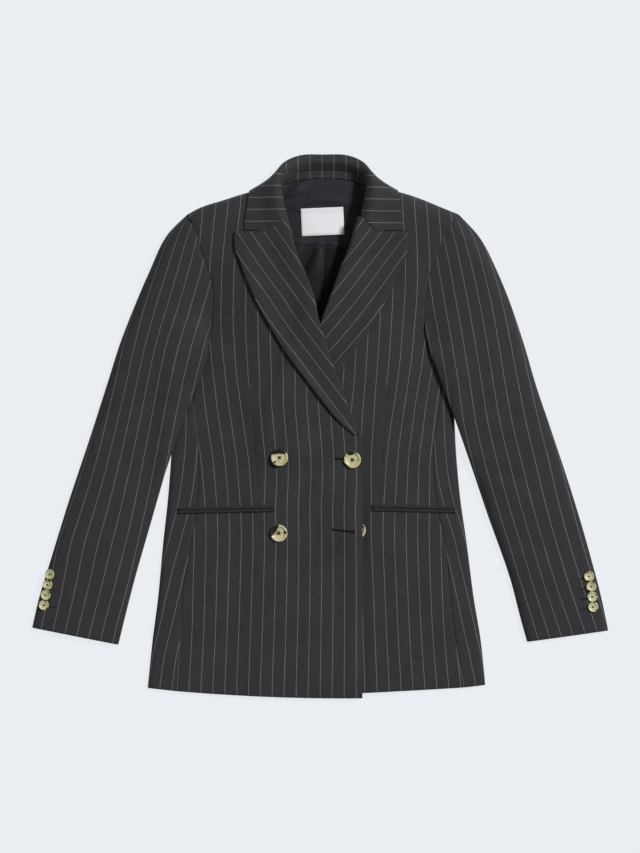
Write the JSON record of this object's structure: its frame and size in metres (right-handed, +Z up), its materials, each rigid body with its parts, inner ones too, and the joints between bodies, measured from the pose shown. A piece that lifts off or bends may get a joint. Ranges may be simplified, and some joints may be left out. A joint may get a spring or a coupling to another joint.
{
  "type": "double breasted blazer",
  "caption": "Pinstriped double breasted blazer with peak lapels and welt pockets, buttoned and laid flat on its back, sleeves beside the body.",
  "frame": {"origin": "centre of the jacket's outline, on the surface that it lies on", "axes": "+Z up from the surface through the back and out of the front, +Y from the hem to the collar, +X to the wearer's left"},
  "size_m": [0.8078, 0.7623, 0.0421],
  "materials": {
    "cloth": "dark charcoal wool twill with fine pale pinstripes",
    "lining": "purple-grey satin lining",
    "label": "white woven label, blank",
    "horn": "mottled horn-look resin"
  },
  "bodies": {
    "root": {"back_right": "cloth", "back_left": "cloth", "side_right": "cloth", "side_left": "cloth", "front_right": "cloth", "front_left": "cloth", "lapel_right": "cloth", "lapel_left": "cloth", "collar_leaf": "cloth", "collar_stand": "cloth", "sleeve_top_right": "cloth", "sleeve_top_left": "cloth", "sleeve_under_right": "cloth", "sleeve_under_left": "cloth", "jet_upper_right": "cloth", "jet_upper_left": "cloth", "jet_lower_right": "cloth", "jet_lower_left": "cloth", "back_lining": "lining", "neck_label": "label", "button_front_1": "horn", "button_front_2": "horn", "button_front_3": "horn", "button_front_4": "horn", "button_sleeve_right_1": "horn", "button_sleeve_right_2": "horn", "button_sleeve_right_3": "horn", "button_sleeve_right_4": "horn", "button_sleeve_left_1": "horn", "button_sleeve_left_2": "horn", "button_sleeve_left_3": "horn", "button_sleeve_left_4": "horn"}
  },
  "joints": []
}
